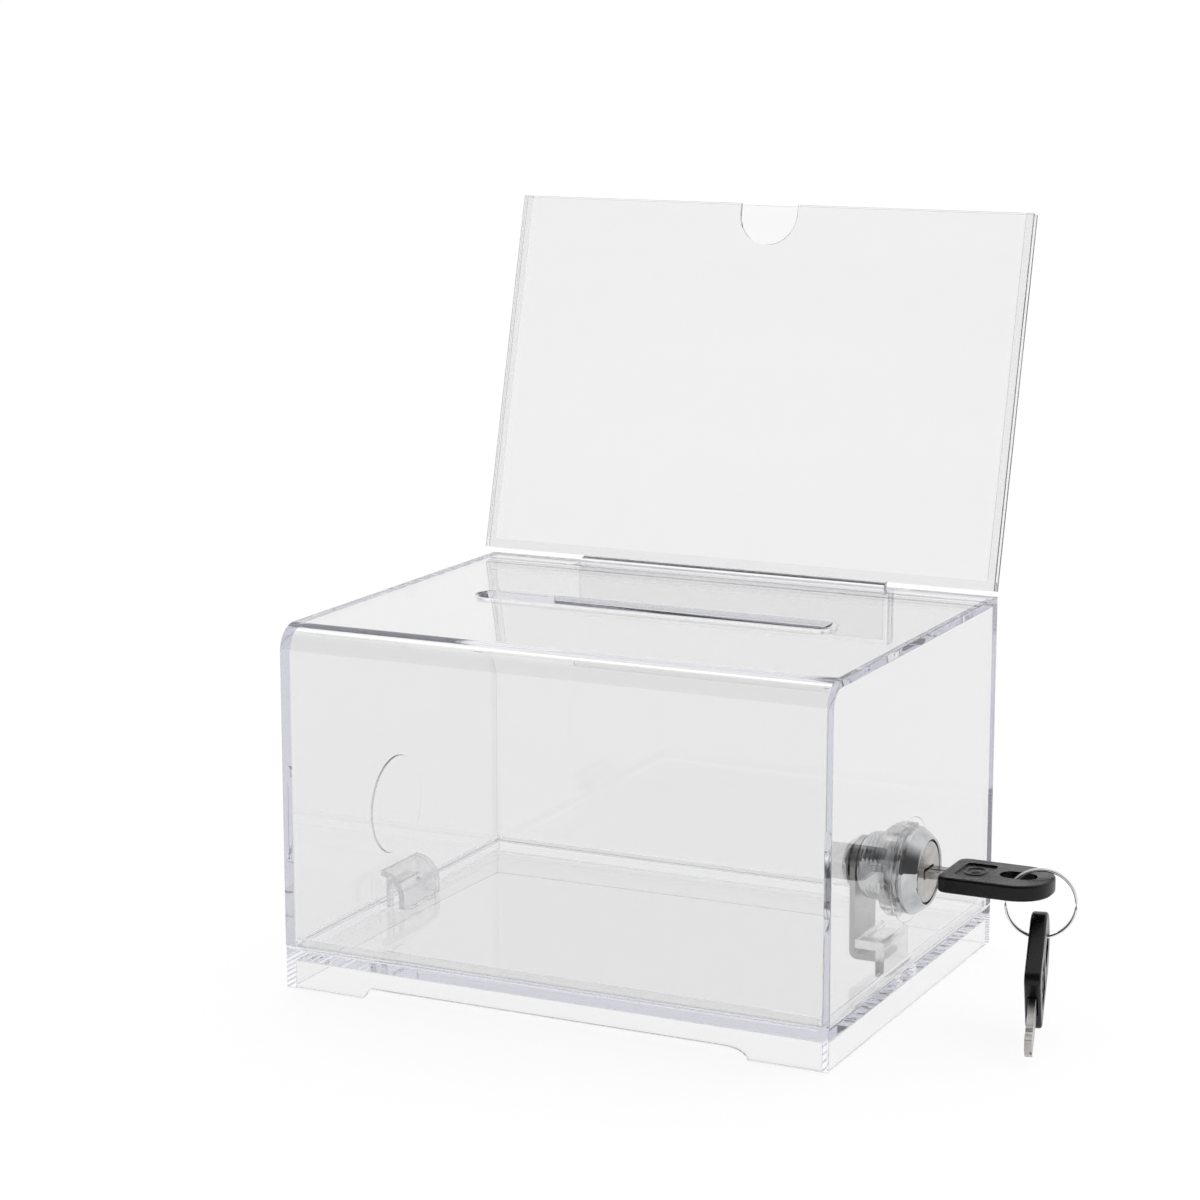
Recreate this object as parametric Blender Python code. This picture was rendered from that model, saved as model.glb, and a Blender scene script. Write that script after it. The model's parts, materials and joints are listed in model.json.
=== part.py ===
"""Clear lockable donation box with a leaning sign holder, a cam lock, a key ring and two keys.

X is the box's width, the front faces -Y, Z is up. The lock is on the +X wall, and its axis is
parallel to X. Dimensions are measured from the middle of the base's footprint, in millimetres.
The base is hollow there, so place_in_frame puts the origin on solid plastic instead: the middle
of the rear skirt's lower edge.
"""

import math

import bmesh
import bpy
from mathutils import Matrix, Vector

MM = 0.001

# Box
BOX_W = 155.0
BOX_D = 119.0
BOX_H = 98.0
SEAM_Z = 11.5
WALL = 2.2
ROOF = 2.4
FRONT_EDGE_R = 7.0
EDGE_STEPS = 14
GAP = 0.3

# Base tray
RIM_Z = SEAM_Z - GAP
FLOOR_TOP = 9.7
FLOOR_BOTTOM = 7.4
LIP_INSET = WALL + GAP
LIP_T = 1.2
LIP_TOP = 13.4
RELIEF_H = 2.8
RELIEF_X = (-54.9, 56.4)

# Money slot, funnelled through the roof
SLOT_X = 0.4
SLOT_Y = 3.0
SLOT_TOP = (105.5, 11.0)
SLOT_BOTTOM = (101.0, 6.5)
SLOT_LIP = (105.2, 10.4)
SLOT_LIP_DROP = 1.2
SLOT_STEPS = 16

# Sign holder
SIGN_W = 155.6
SIGN_H = 103.3
SIGN_LEAN = math.radians(14.5)
SIGN_Y = 54.9
SIGN_Z = 100.4
SHEET_T = 1.2
CARD_GAP = 1.5
RAIL_W = 2.5
NECK_HALF = 0.25
NECK_RISE = 0.5
TONGUE_W = 92.8
TONGUE_T = 2.0
TONGUE_Y = 55.4
TONGUE_BOTTOM = 82.6
NOTCH_R = 8.6
SLEEVE_FLOOR = 1.3
SLEEVE_WALL = 1.5

# Lock
LOCK_Y = -2.8
LOCK_Z = 37.2
PAD_D = 27.5
PAD_T = 0.4
BEZEL_D = 23.0
BODY_D = 18.0
BODY_FLATS = 16.0
BODY_END = 64.3
BEZEL_BACK = BOX_W / 2 + GAP
BEZEL_FACE = 82.2
PLUG_HEAD_D = 16.2
PLUG_D = 13.0
PLUG_FACE = 81.9
PLUG_HEAD_T = 2.2
SHAFT = 7.0
THREAD_PITCH = 1.1
WAFER_X = (78.0, 76.2, 74.4, 72.6)
WAFER_T = 0.8
WAFER_SLOT = 1.2
BITTING = (0.25, -0.35, 0.35, -0.2)
WAFER_SLOT_DEPTH = 4.1
KEYWAY_END = 70.6
KEYWAY_CLEAR = 0.4
SCREW_HOLE_R = 2.3
SPRING_R = 0.34
SPRING_WIRE = 0.12
SPRING_TURNS = 6
SPRING_LENGTH = 6.6

# Cam stack behind the plug
CAM_X = (61.5, 63.0)
CAM_HALF = 7.5
FOOT_BOTTOM = 13.4
FOOT_T = 1.6
FOOT_END = 69.0
FOOT_Y = (-9.9, 1.5)
FOOT_BEND_R = 2.0
STOP_R = 7.4
STOP_TAB_R = 8.6
SPRING_WASHER_X = (60.6, 61.2)
SPRING_WASHER_R = (2.5, 5.4)
SCREW_HEAD_X = (57.3, 60.3)
SCREW_HEAD_R = 6.35
SCREW_R = 1.95
SCREW_END = 67.8
SCREW_CROSS = (2.4, 0.5)

# Catches on the floor, and the cover's tab
CATCH_Y = (-12.0, 8.0)
CATCH_FEET = ((-9.0, -5.0), (1.0, 5.0))
CATCH_T = 1.6
LEFT_CATCH_X = -74.9
LEFT_CATCH_Z = 13.2
LEFT_CATCH_R = 7.3
RIGHT_CATCH_X = (63.8, 71.9)
RIGHT_CATCH_TOP = 19.4
RIGHT_CATCH_ROOF = 17.0
RIGHT_CATCH_WALL = 2.4
TAB_Y = (-8.0, 3.0)
TAB_Z = (13.9, 16.1)
TAB_L = 3.6

# Keys and ring
HEAD_L = 28.0
HEAD_W = 20.0
HEAD_T = 4.2
HEAD_END_R = 9.0
HEAD_CORNER_R = 2.6
HEAD_EDGE_R = 0.7
PANEL_X = (3.4, 11.6)
PANEL_MARGIN = 4.0
PANEL_DEPTH = 0.45
BLADE_ROOT = 9.0
HEAD_X = 87.2
BLADE_L = 15.0
BLADE_W = 6.4
BLADE_T = 1.9
HOLE_X = (17.2, 20.6)
HOLE_R = 3.2
RING_R = 9.0
RING_WIRE = 0.42
RING_STEP = 0.94
RING_AZ = math.radians(20.0)
RING_DROP = 5.3
SPARE_AZ = math.radians(14.0)
SPARE_LEAN = math.radians(59.0)


def clear_scene():
    for obj in list(bpy.data.objects):
        bpy.data.objects.remove(obj, do_unlink=True)


def material(name, color, roughness, metallic=0.0, transmission=0.0):
    mat = bpy.data.materials.new(name)
    mat.use_nodes = True
    shader = mat.node_tree.nodes["Principled BSDF"]
    shader.inputs["Base Color"].default_value = (*color, 1.0)
    shader.inputs["Roughness"].default_value = roughness
    shader.inputs["Metallic"].default_value = metallic
    shader.inputs["Transmission Weight"].default_value = transmission
    mat.diffuse_color = (*color, 1.0)
    return mat


def finish(bm, name, mat):
    """Turn a bmesh drawn in millimetres into a named object in metres."""
    bmesh.ops.remove_doubles(bm, verts=bm.verts, dist=1e-3)
    bmesh.ops.recalc_face_normals(bm, faces=bm.faces)
    bmesh.ops.scale(bm, vec=(MM, MM, MM), verts=bm.verts)
    mesh = bpy.data.meshes.new(name)
    bm.to_mesh(mesh)
    bm.free()
    obj = bpy.data.objects.new(name, mesh)
    bpy.context.collection.objects.link(obj)
    if mat is not None:
        obj.data.materials.append(mat)
    return obj


def point(axis, along, u, v):
    """A point from its place along an axis and two coordinates across it."""
    if axis == "X":
        return Vector((along, u, v))
    if axis == "Y":
        return Vector((u, along, v))
    return Vector((u, v, along))


def add_prism(bm, outline, axis, low, high):
    """Extrude a closed 2-D outline from low to high along an axis."""
    verts = [bm.verts.new(point(axis, low, u, v)) for u, v in outline]
    face = bm.faces.new(verts)
    made = bmesh.ops.extrude_face_region(bm, geom=[face])
    moved = [g for g in made["geom"] if isinstance(g, bmesh.types.BMVert)]
    bmesh.ops.translate(bm, verts=moved, vec=point(axis, high - low, 0, 0))


def prism(name, mat, outline, axis, low, high):
    bm = bmesh.new()
    add_prism(bm, outline, axis, low, high)
    return finish(bm, name, mat)


def box(name, mat, low, high):
    outline = [(low[0], low[1]), (high[0], low[1]), (high[0], high[1]), (low[0], high[1])]
    return prism(name, mat, outline, "Z", low[2], high[2])


def loft(name, mat, rings):
    """A closed solid through a list of rings with the same number of points."""
    bm = bmesh.new()
    loops = [[bm.verts.new(p) for p in ring] for ring in rings]
    for lower, upper in zip(loops, loops[1:]):
        for i in range(len(lower)):
            j = (i + 1) % len(lower)
            bm.faces.new((lower[i], lower[j], upper[j], upper[i]))
    bm.faces.new(loops[0])
    bm.faces.new(loops[-1])
    return finish(bm, name, mat)


def lathe(name, mat, profile, steps, closed=True):
    """Spin (x, radius) points about the X axis; a closed profile makes a ring."""
    bm = bmesh.new()
    verts = [bm.verts.new((x, 0.0, r)) for x, r in profile]
    edges = [bm.edges.new((a, b)) for a, b in zip(verts, verts[1:])]
    if closed:
        edges.append(bm.edges.new((verts[-1], verts[0])))
    bmesh.ops.spin(
        bm,
        geom=verts + edges,
        cent=(0, 0, 0),
        axis=(1, 0, 0),
        angle=math.tau,
        steps=steps,
        use_duplicate=False,
    )
    return finish(bm, name, mat)


def tube(name, mat, path, radius, sides):
    """Sweep a round wire along a path and cap both ends."""
    bm = bmesh.new()
    loops = []
    for i, p in enumerate(path):
        ahead = path[min(i + 1, len(path) - 1)] - path[max(i - 1, 0)]
        frame = ahead.to_track_quat("Z", "Y").to_matrix()
        loop = []
        for k in range(sides):
            a = math.tau * k / sides
            offset = frame @ Vector((radius * math.cos(a), radius * math.sin(a), 0.0))
            loop.append(bm.verts.new(p + offset))
        loops.append(loop)
    for lower, upper in zip(loops, loops[1:]):
        for i in range(sides):
            j = (i + 1) % sides
            bm.faces.new((lower[i], lower[j], upper[j], upper[i]))
    bm.faces.new(loops[0])
    bm.faces.new(loops[-1])
    return finish(bm, name, mat)


def boolean(obj, other, operation):
    """Cut or join with another object, which is then kept hidden as a wire."""
    mod = obj.modifiers.new(other.name, "BOOLEAN")
    mod.operation = operation
    mod.solver = "EXACT"
    mod.object = other
    other.hide_render = True
    other.display_type = "WIRE"


def cut(obj, *others):
    for other in others:
        boolean(obj, other, "DIFFERENCE")


def join(obj, *others):
    for other in others:
        boolean(obj, other, "UNION")


def smooth(obj, degrees=35.0):
    obj.data.polygons.foreach_set("use_smooth", [True] * len(obj.data.polygons))
    obj.data.set_sharp_from_angle(angle=math.radians(degrees))


def arc(cx, cy, r, start, end, steps):
    """Points on an arc, angles in degrees."""
    points = []
    for i in range(steps + 1):
        a = math.radians(start + (end - start) * i / steps)
        points.append((cx + r * math.cos(a), cy + r * math.sin(a)))
    return points


def rounded_rect(x0, y0, x1, y1, r, steps=5):
    return (
        arc(x1 - r, y1 - r, r, 0, 90, steps)
        + arc(x0 + r, y1 - r, r, 90, 180, steps)
        + arc(x0 + r, y0 + r, r, 180, 270, steps)
        + arc(x1 - r, y0 + r, r, 270, 360, steps)
    )


def stadium(cx, cy, length, width, steps=10):
    r = width / 2
    half = length / 2 - r
    return arc(cx + half, cy, r, -90, 90, steps) + arc(cx - half, cy, r, 90, 270, steps)


def double_d(diameter, flats, steps=10):
    """A round outline with a flat on each side, centred on the lock's axis."""
    r = diameter / 2
    a = math.degrees(math.acos(flats / diameter))
    outline = arc(0, 0, r, a, 180 - a, steps) + arc(0, 0, r, 180 + a, 360 - a, steps)
    return [(LOCK_Y + y, LOCK_Z + z) for y, z in outline]


def to_lock(obj):
    """Put the object's origin on the lock's axis."""
    obj.location = (0.0, LOCK_Y * MM, LOCK_Z * MM)
    return obj


def shell_profile(inset, top, radius, bottom):
    y = BOX_D / 2 - inset
    corner = arc(-y + radius, top - radius, radius, 180, 90, EDGE_STEPS)
    return [(-y, bottom)] + corner + [(y, top), (y, bottom)]


def build_cover(mat):
    half = BOX_W / 2
    outer = shell_profile(0.0, BOX_H, FRONT_EDGE_R, SEAM_Z)
    cover = prism("cover_shell", mat, outer, "X", -half, half)
    inner = shell_profile(WALL, BOX_H - ROOF, FRONT_EDGE_R - WALL, SEAM_Z - 5)
    inside = half - WALL
    cut(cover, prism("cut_cover_inside", None, inner, "X", -inside, inside))

    lip = stadium(SLOT_X, SLOT_Y, SLOT_LIP[0], SLOT_LIP[1], SLOT_STEPS)
    under = BOX_H - ROOF
    join(cover, prism("add_slot_lip", None, lip, "Z", under - SLOT_LIP_DROP, under + 0.6))

    back = BOX_D / 2 - WALL
    front = TONGUE_Y - TONGUE_T / 2 - GAP - SLEEVE_WALL
    wide = TONGUE_W / 2 + GAP + SLEEVE_WALL
    foot = TONGUE_BOTTOM - GAP - SLEEVE_FLOOR
    join(cover, box("add_sleeve", None, (-wide, front, foot), (wide, back + 0.6, under + 0.6)))

    for side in (-1, 1):
        disc = [(LOCK_Y + y, LOCK_Z + z) for y, z in arc(0, 0, PAD_D / 2, 0, 352.5, 47)]
        low, high = sorted((side * (inside - PAD_T), side * (inside + 0.6)))
        join(cover, prism(f"add_pad_{side}", None, disc, "X", low, high))
    tab = rounded_rect(TAB_Y[0], TAB_Z[0], TAB_Y[1], TAB_Z[1], 0.6, 3)
    join(cover, prism("add_tab", None, tab, "X", -inside - 0.6, -inside + TAB_L))

    funnel = []
    lip_z = under - SLOT_LIP_DROP
    for t in (-0.2, 1.2):
        length = SLOT_BOTTOM[0] + (SLOT_TOP[0] - SLOT_BOTTOM[0]) * t
        width = SLOT_BOTTOM[1] + (SLOT_TOP[1] - SLOT_BOTTOM[1]) * t
        z = lip_z + (BOX_H - lip_z) * t
        funnel.append([(x, y, z) for x, y in stadium(SLOT_X, SLOT_Y, length, width, SLOT_STEPS)])
    cut(cover, loft("cut_money_slot", None, funnel))

    low = (-TONGUE_W / 2 - GAP, TONGUE_Y - TONGUE_T / 2 - GAP, TONGUE_BOTTOM - GAP)
    high = (TONGUE_W / 2 + GAP, TONGUE_Y + TONGUE_T / 2 + GAP, BOX_H + 1)
    cut(cover, box("cut_tongue_slot", None, low, high))
    hole = double_d(BODY_D + 2 * GAP, BODY_FLATS + 2 * GAP)
    cut(cover, prism("cut_lock_hole", None, hole, "X", half - 6, half + 3))
    return cover


def inset_box(name, mat, inset, low, high):
    x = BOX_W / 2 - inset
    y = BOX_D / 2 - inset
    return box(name, mat, (-x, -y, low), (x, y, high))


def relief_outline():
    """The shallow finger recess under the front skirt, with one slanted and one curved end."""
    left, right = RELIEF_X
    curve = arc(right - 7.0, 0.0, RELIEF_H, 90, 0, 5)
    outline = [(left, -1.0), (left + 0.6, 0.0), (left + 2.8, RELIEF_H)]
    outline += [(right - 7.0 + (x - right + 7.0) * 2.3, z) for x, z in curve]
    return outline + [(right, -1.0)]


def build_base(mat):
    base = inset_box("base_tray", mat, 0.0, 0.0, RIM_Z)
    join(base, inset_box("add_lip", None, LIP_INSET, RIM_Z - 1.0, LIP_TOP))
    cut(base, inset_box("cut_base_top", None, LIP_INSET + LIP_T, FLOOR_TOP, LIP_TOP + 5))
    cut(base, inset_box("cut_base_under", None, WALL, -3.0, FLOOR_BOTTOM))
    low = (-BOX_W / 2 + LIP_INSET - 0.1, CATCH_Y[0] - 2.5, RIM_Z)
    high = (-BOX_W / 2 + LIP_INSET + LIP_T + 1, CATCH_Y[1] + 2.5, LIP_TOP + 1)
    cut(base, box("cut_lip_break", None, low, high))
    low = (low[0] + 0.1 + WALL - LIP_INSET + GAP, low[1], FLOOR_TOP)
    cut(base, box("cut_lip_foot", None, low, (high[0], high[1], RIM_Z + 1)))
    front = -BOX_D / 2
    cut(base, prism("cut_relief", None, relief_outline(), "Y", front - 1, front + WALL + 1))
    for label, (x0, x1) in (("left", left_foot_x()), ("right", right_foot_x())):
        for n, (y0, y1) in enumerate(CATCH_FEET):
            low = (x0 - GAP, y0 - GAP, FLOOR_BOTTOM - 1)
            high = (x1 + GAP, y1 + GAP, FLOOR_TOP + 1)
            cut(base, box(f"cut_{label}_foot_{n}", None, low, high))
    return base


def left_foot_x():
    """The left catch's inner wall, which its feet carry on through the floor."""
    inner = LEFT_CATCH_X + LEFT_CATCH_R
    return inner - CATCH_T, inner


def right_foot_x():
    """The right catch's outer wall, which its feet carry on through the floor."""
    return RIGHT_CATCH_X[1] - RIGHT_CATCH_WALL, RIGHT_CATCH_X[1]


def add_feet(catch, label, x0, x1):
    """Feet through the floor plate's holes."""
    for n, (y0, y1) in enumerate(CATCH_FEET):
        low = (x0, y0, FLOOR_BOTTOM - 0.2)
        high = (x1, y1, FLOOR_TOP + GAP + 1.0)
        join(catch, box(f"add_{label}_foot_{n}", None, low, high))


def build_left_catch(mat):
    """A quarter-round hood that the cover's tab hooks under."""
    y0 = CATCH_Y[0] - 0.5
    y1 = CATCH_Y[1]
    foot = FLOOR_TOP + GAP
    x, z, r = LEFT_CATCH_X, LEFT_CATCH_Z, LEFT_CATCH_R
    wall = left_foot_x()
    section = arc(x, z, r, 90, 0, 8) + [(wall[1], foot), (wall[0], foot)]
    section += arc(x, z, r - CATCH_T, 0, 90, 8)
    hood = prism("left_catch", mat, section, "Y", y0, y1)
    end = arc(x, z, r - 0.2, 90, 0, 8) + [(wall[1] - 0.2, foot + 0.2), (x, foot + 0.2)]
    join(hood, prism("add_left_end", None, end, "Y", y1 - 1.5, y1 - 0.2))
    rib_x = (x + CATCH_T, x + CATCH_T + 1.2)
    rib = [(rib_x[0], foot + 0.2), (rib_x[1], foot + 0.2), (rib_x[1], z + 5.8), (rib_x[0], z + 6.4)]
    join(hood, prism("add_left_rib", None, rib, "Y", y0 + 0.2, y0 + 2.4))
    add_feet(hood, "left", *wall)
    return hood


def build_right_catch(mat):
    """A hood that is open to the cam's side; the cam's foot hooks under its roof."""
    y0, y1 = CATCH_Y
    x0, x1 = RIGHT_CATCH_X
    wall = right_foot_x()[0]
    foot = FLOOR_TOP + GAP
    plan = [(x0, y0), (x1, y0), (x1, y1 - 2.4), (wall, y1), (x0, y1)]
    hood = prism("right_catch", mat, plan, "Z", foot, RIGHT_CATCH_TOP)
    low = (x0 - 2, y0 - 1, foot - 1)
    cut(hood, box("cut_right_channel", None, low, (wall, y1 - CATCH_T, RIGHT_CATCH_ROOF)))
    low = (x0 + 1.4, y0 + 4, RIGHT_CATCH_ROOF + 1.2)
    high = (x1 - 1.3, y1 - CATCH_T, RIGHT_CATCH_TOP + 2)
    cut(hood, box("cut_right_light", None, low, high))
    add_feet(hood, "right", wall, x1 - 0.2)
    return hood


def place_sign(obj):
    obj.location = (0.0, SIGN_Y * MM, SIGN_Z * MM)
    obj.rotation_euler = (-SIGN_LEAN, 0.0, 0.0)
    return obj


def build_sign_holder(mat):
    """Two clear sheets with strips between them on three sides, and a tongue below."""
    w = SIGN_W / 2
    notch = arc(0.0, SIGN_H - NOTCH_R * 0.35, NOTCH_R, 0, -180, 14)
    front = [(-w, 0.0), (w, 0.0), (w, SIGN_H), (NOTCH_R, SIGN_H)]
    front += notch + [(-NOTCH_R, SIGN_H), (-w, SIGN_H)]
    t0 = SHEET_T
    t1 = t0 + GAP
    t2 = t1 + CARD_GAP - 2 * GAP
    t3 = t2 + GAP
    place_sign(prism("sign_front_sheet", mat, front, "Y", 0.0, t0))
    back = [(-w, 0.0), (w, 0.0), (w, SIGN_H), (-w, SIGN_H)]
    place_sign(prism("sign_back_sheet", mat, back, "Y", t3, t3 + SHEET_T))
    side_bottom = RAIL_W + GAP
    low = (-w, t1, side_bottom)
    place_sign(box("sign_left_strip", mat, low, (-w + RAIL_W, t2, SIGN_H)))
    low = (w - RAIL_W, t1, side_bottom)
    place_sign(box("sign_right_strip", mat, low, (w, t2, SIGN_H)))

    strip = place_sign(box("sign_tongue_strip", mat, (-w, t1, 0.0), (w, t2, RAIL_W)))
    lean = math.tan(SIGN_LEAN)
    mid = (t1 + t2) / 2
    top = SIGN_Z + NECK_RISE
    neck_y = SIGN_Y + mid + (top - SIGN_Z) * lean
    neck = [
        (neck_y - NECK_HALF, top),
        (neck_y + NECK_HALF, top),
        (neck_y + NECK_HALF, SIGN_Z - 0.5),
        (TONGUE_Y + TONGUE_T / 2, SIGN_Z - 1.0),
        (TONGUE_Y + TONGUE_T / 2, TONGUE_BOTTOM),
        (TONGUE_Y - TONGUE_T / 2, TONGUE_BOTTOM),
        (TONGUE_Y - TONGUE_T / 2, SIGN_Z - 1.0),
        (neck_y - NECK_HALF, SIGN_Z - 0.5),
    ]
    join(strip, prism("add_tongue", None, neck, "X", -TONGUE_W / 2, TONGUE_W / 2))


def build_housing(mat):
    """Chrome lock body with a conical bezel, a threaded barrel with flats, and a bore."""
    r = BODY_D / 2
    bore = PLUG_D / 2 + GAP
    mouth = PLUG_HEAD_D / 2 + GAP
    shelf = PLUG_FACE - PLUG_HEAD_T - GAP
    profile = [
        (BODY_END, bore),
        (BODY_END, r - 1.2),
        (BODY_END + 0.8, r - 0.5),
    ]
    x = BODY_END + 1.2
    while x + THREAD_PITCH < BEZEL_BACK - 2.6:
        profile.append((x, r - 0.5))
        profile.append((x + THREAD_PITCH * 0.5, r))
        x += THREAD_PITCH
    profile += [
        (x, r - 0.5),
        (BEZEL_BACK, r - 0.5),
        (BEZEL_BACK, BEZEL_D / 2 - 0.3),
        (BEZEL_BACK + 0.3, BEZEL_D / 2),
        (BEZEL_BACK + 1.0, BEZEL_D / 2),
        (BEZEL_FACE - 0.4, BEZEL_D / 2 - 2.1),
        (BEZEL_FACE, BEZEL_D / 2 - 2.5),
        (BEZEL_FACE, mouth + 0.2),
        (BEZEL_FACE - 0.2, mouth),
        (shelf, mouth),
        (shelf, bore),
    ]
    housing = to_lock(lathe("lock_housing", mat, profile, 48))
    flat = BODY_FLATS / 2
    for side in (-1, 1):
        y0, y1 = sorted((LOCK_Y + side * flat, LOCK_Y + side * (r + 2)))
        low = (BODY_END - 1, y0, LOCK_Z - 12)
        cut(housing, box(f"cut_flat_{side}", None, low, (BEZEL_BACK - 0.1, y1, LOCK_Z + 12)))
    smooth(housing)
    return housing


def build_nut(mat):
    """Clear ring nut that clamps the housing to the cover's wall from inside."""
    high = BOX_W / 2 - WALL - PAD_T - GAP
    low = high - 4.6
    outline = [(LOCK_Y + y, LOCK_Z + z) for y, z in arc(0, 0, 12.7, 0, 300, 5)]
    nut = prism("lock_nut", mat, outline, "X", low, high)
    profile = [(low - 3, 30.0), (low - 3, 9.0), (low + 1.6, 12.9), (low + 1.6, 30.0)]
    cut(nut, to_lock(lathe("cut_nut_chamfer", None, profile, 40)))
    bore = [(LOCK_Y + y, LOCK_Z + z) for y, z in arc(0, 0, BODY_D / 2 + GAP, 0, 350, 35)]
    cut(nut, prism("cut_nut_bore", None, bore, "X", low - 1, high + 1))
    return nut


def build_plug(mat):
    """Turning plug with its keyway, wafer slots, drive shaft and screw hole."""
    r = PLUG_D / 2
    shelf = PLUG_FACE - PLUG_HEAD_T
    profile = [
        (BODY_END - 0.1, 0.0),
        (BODY_END - 0.1, r - 0.5),
        (BODY_END + 0.4, r),
        (shelf, r),
        (shelf, PLUG_HEAD_D / 2),
        (PLUG_FACE - 0.3, PLUG_HEAD_D / 2),
        (PLUG_FACE, PLUG_HEAD_D / 2 - 0.3),
        (PLUG_FACE, 0.0),
    ]
    plug = to_lock(lathe("lock_plug", mat, profile, 48, closed=False))
    s = SHAFT / 2
    low = (CAM_X[0] - 0.2, LOCK_Y - s, LOCK_Z - s)
    join(plug, box("add_drive_shaft", None, low, (BODY_END + 1.0, LOCK_Y + s, LOCK_Z + s)))
    hole = [(LOCK_Y + y, LOCK_Z + z) for y, z in arc(0, 0, SCREW_HOLE_R, 0, 345, 23)]
    cut(plug, prism("cut_screw_hole", None, hole, "X", CAM_X[0] - 2, BODY_END + 4.5))
    keyway = rounded_rect(
        LOCK_Y - BLADE_W / 2 - KEYWAY_CLEAR, LOCK_Z - BLADE_T / 2 - KEYWAY_CLEAR,
        LOCK_Y + BLADE_W / 2 + KEYWAY_CLEAR, LOCK_Z + BLADE_T / 2 + KEYWAY_CLEAR, 0.3, 2,
    )
    cut(plug, prism("cut_keyway", None, keyway, "X", KEYWAY_END, PLUG_FACE + 1))
    for n, x in enumerate(WAFER_X):
        low = (x - WAFER_SLOT / 2, LOCK_Y - BODY_D / 2, LOCK_Z - WAFER_SLOT_DEPTH)
        high = (x + WAFER_SLOT / 2, LOCK_Y + BODY_D / 2, LOCK_Z + WAFER_SLOT_DEPTH)
        cut(plug, box(f"cut_wafer_slot_{n}", None, low, high))
    smooth(plug)
    return plug


def build_wafers(brass, steel):
    """Four wafers, each held by its own small coil spring."""
    corners = [(-4.9, -3.8), (4.9, -3.8), (4.9, 3.8), (2.6, 3.8), (2.6, 2.0), (-4.9, 2.0)]
    outline = [(LOCK_Y + y, LOCK_Z + z) for y, z in corners]
    for n, (x, shift) in enumerate(zip(WAFER_X, BITTING), start=1):
        low = x - WAFER_T / 2
        high = x + WAFER_T / 2
        wafer = prism(f"wafer_{n}", brass, outline, "X", low, high)
        window = rounded_rect(
            LOCK_Y - BLADE_W / 2 - KEYWAY_CLEAR + shift, LOCK_Z - BLADE_T / 2 - GAP,
            LOCK_Y + BLADE_W / 2 + KEYWAY_CLEAR + shift, LOCK_Z + BLADE_T / 2 + GAP, 0.3, 2,
        )
        cut(wafer, prism(f"cut_wafer_{n}", None, window, "X", low - 1, high + 1))

        start = Vector((x, LOCK_Y - 4.6, LOCK_Z + 3.0))
        path = []
        for i in range(SPRING_TURNS * 8 + 1):
            a = math.tau * i / 8
            y = SPRING_LENGTH * i / (SPRING_TURNS * 8)
            path.append(start + Vector((SPRING_R * math.cos(a), y, SPRING_R * math.sin(a))))
        tube(f"wafer_spring_{n}", steel, path, SPRING_WIRE, 5)


def build_cam_stack(steel, mat_washer, mat_screw):
    """Stop washer, hooked cam, spring washer and domed cam screw behind the plug."""
    s = SHAFT / 2 + GAP
    hole = [(LOCK_Y - s, LOCK_Z - s), (LOCK_Y + s, LOCK_Z - s),
            (LOCK_Y + s, LOCK_Z + s), (LOCK_Y - s, LOCK_Z + s)]

    stop = arc(0, 0, STOP_R, 20, 340, 30) + arc(0, 0, STOP_TAB_R, -16, 16, 4)
    stop = [(LOCK_Y + y, LOCK_Z + z) for y, z in stop]
    washer = prism("stop_washer", mat_washer, stop, "X", CAM_X[1] + GAP, BODY_END - GAP)
    cut(washer, prism("cut_stop_hole", None, hole, "X", CAM_X[1], BODY_END))

    top = arc(LOCK_Y, LOCK_Z, CAM_HALF, 0, 180, 18)
    knee = FOOT_BOTTOM + FOOT_BEND_R
    tip = [(FOOT_Y[0] - 0.1, knee), (FOOT_Y[1] + 0.1, knee), (LOCK_Y + CAM_HALF, knee + 4.0)]
    cam = prism("lock_cam", steel, top + tip, "X", *CAM_X)
    r = FOOT_BEND_R
    bend = arc(CAM_X[0] + r, FOOT_BOTTOM + r, r, 180, 270, 5)
    inner = arc(CAM_X[0] + r, FOOT_BOTTOM + r, r - FOOT_T + 0.05, 270, 180, 4)
    foot = [(CAM_X[0], FOOT_BOTTOM + 3.0)] + bend
    foot += [(FOOT_END, FOOT_BOTTOM), (FOOT_END, FOOT_BOTTOM + FOOT_T - 0.05)]
    foot += inner + [(CAM_X[1] - 0.05, FOOT_BOTTOM + 3.0)]
    join(cam, prism("add_cam_foot", None, foot, "Y", *FOOT_Y))
    cut(cam, prism("cut_cam_hole", None, hole, "X", CAM_X[0] - 1, CAM_X[1] + 1))

    x0, x1 = SPRING_WASHER_X
    r0, r1 = SPRING_WASHER_R
    ring = [(x0, r0), (x0, r1), (x1, r1), (x1, r0)]
    spring = to_lock(lathe("spring_washer", mat_washer, ring, 32))
    smooth(spring)

    x0, x1 = SCREW_HEAD_X
    dome = [(x1, 0.0), (x1, SCREW_HEAD_R - 0.35)]
    for i in range(7):
        a = math.radians(90 * i / 6)
        dome.append((x1 - 0.4 - (x1 - x0 - 0.4) * math.sin(a), SCREW_HEAD_R * math.cos(a)))
    dome[-1] = (x0, 0.0)
    screw = to_lock(lathe("cam_screw", mat_screw, dome, 32, closed=False))
    shank = [(LOCK_Y + y, LOCK_Z + z) for y, z in arc(0, 0, SCREW_R, 0, 345, 23)]
    join(screw, prism("add_screw_shank", None, shank, "X", x1 - 0.8, SCREW_END))
    long, half = SCREW_CROSS
    cross = [(-long, -half), (-half, -half), (-half, -long), (half, -long), (half, -half),
             (long, -half), (long, half), (half, half), (half, long), (-half, long),
             (-half, half), (-long, half)]
    cross = [(LOCK_Y + y, LOCK_Z + z) for y, z in cross]
    cut(screw, prism("cut_screw_cross", None, cross, "X", x0 - 1.3, x0 + 1.6))
    smooth(screw)


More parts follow.
